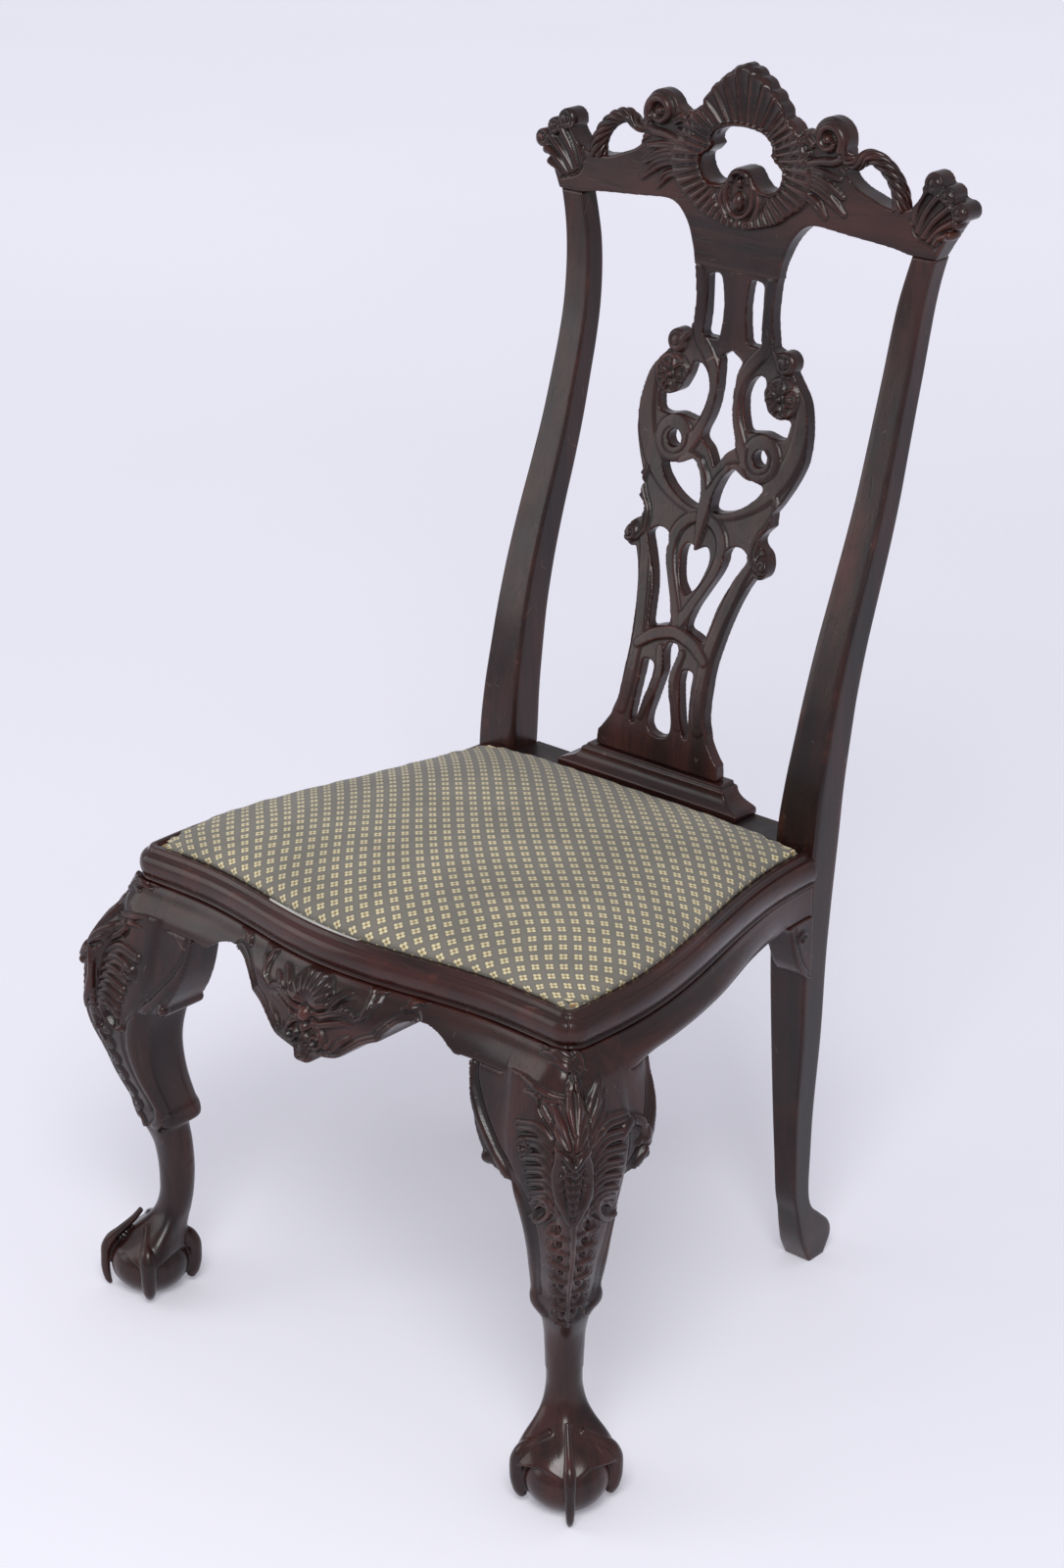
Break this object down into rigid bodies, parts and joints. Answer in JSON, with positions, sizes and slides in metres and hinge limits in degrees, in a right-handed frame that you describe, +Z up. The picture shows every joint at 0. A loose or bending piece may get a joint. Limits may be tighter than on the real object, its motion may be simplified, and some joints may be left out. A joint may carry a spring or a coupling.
{
  "type": "dining side chair",
  "caption": "Dark carved wooden dining chair with pierced splat back, cabriole ball-and-claw front legs and a patterned drop-in seat.",
  "frame": {"origin": "centre of the bounding box in plan, at floor level", "axes": "+Z up, the front of the chair faces -Y, +X is the right side seen from the front"},
  "size_m": [0.5712, 0.5802, 1.071],
  "materials": {
    "mahogany": "dark stained mahogany, satin polish",
    "beech": "bare sawn hardwood",
    "webbing": "jute webbing",
    "hessian": "coarse hessian",
    "wadding": "soft wadding",
    "fabric": "woven seat fabric, grey taupe with small repeated motifs",
    "lining": "thin dark lining cloth",
    "steel": "plain steel"
  },
  "bodies": {
    "chair_frame": {"front_leg_right": "mahogany", "front_leg_left": "mahogany", "rear_post_right": "mahogany", "rear_post_left": "mahogany", "crest_rail": "mahogany", "splat": "mahogany", "splat_shoe": "mahogany", "front_rail": "mahogany", "side_rail_right": "mahogany", "side_rail_left": "mahogany", "rear_rail": "mahogany", "seat_moulding_front": "mahogany", "seat_moulding_side_right": "mahogany", "seat_moulding_side_left": "mahogany", "knee_bracket_front_right": "mahogany", "knee_bracket_front_left": "mahogany", "knee_bracket_side_right": "mahogany", "knee_bracket_side_left": "mahogany", "rear_bracket_right": "mahogany", "rear_bracket_left": "mahogany", "corner_block_front_right": "beech", "corner_block_front_left": "beech", "corner_block_rear_right": "beech", "corner_block_rear_left": "beech", "block_screw_right": "steel", "block_screw_left": "steel"},
    "drop_in_seat": {"seat_frame_front": "beech", "seat_frame_rear": "beech", "seat_frame_side_right": "beech", "seat_frame_side_left": "beech", "webbing_long_left": "webbing", "webbing_long_middle": "webbing", "webbing_long_right": "webbing", "webbing_cross_front": "webbing", "webbing_cross_middle": "webbing", "webbing_cross_rear": "webbing", "hessian": "hessian", "seat_pad": "wadding", "seat_cover": "fabric", "dust_cover": "lining"}
  },
  "joints": [
    {"name": "seat_lift", "type": "slide", "parent": "chair_frame", "child": "drop_in_seat", "axis": [0, 0, 1], "range_m": [0, 0.12]}
  ]
}
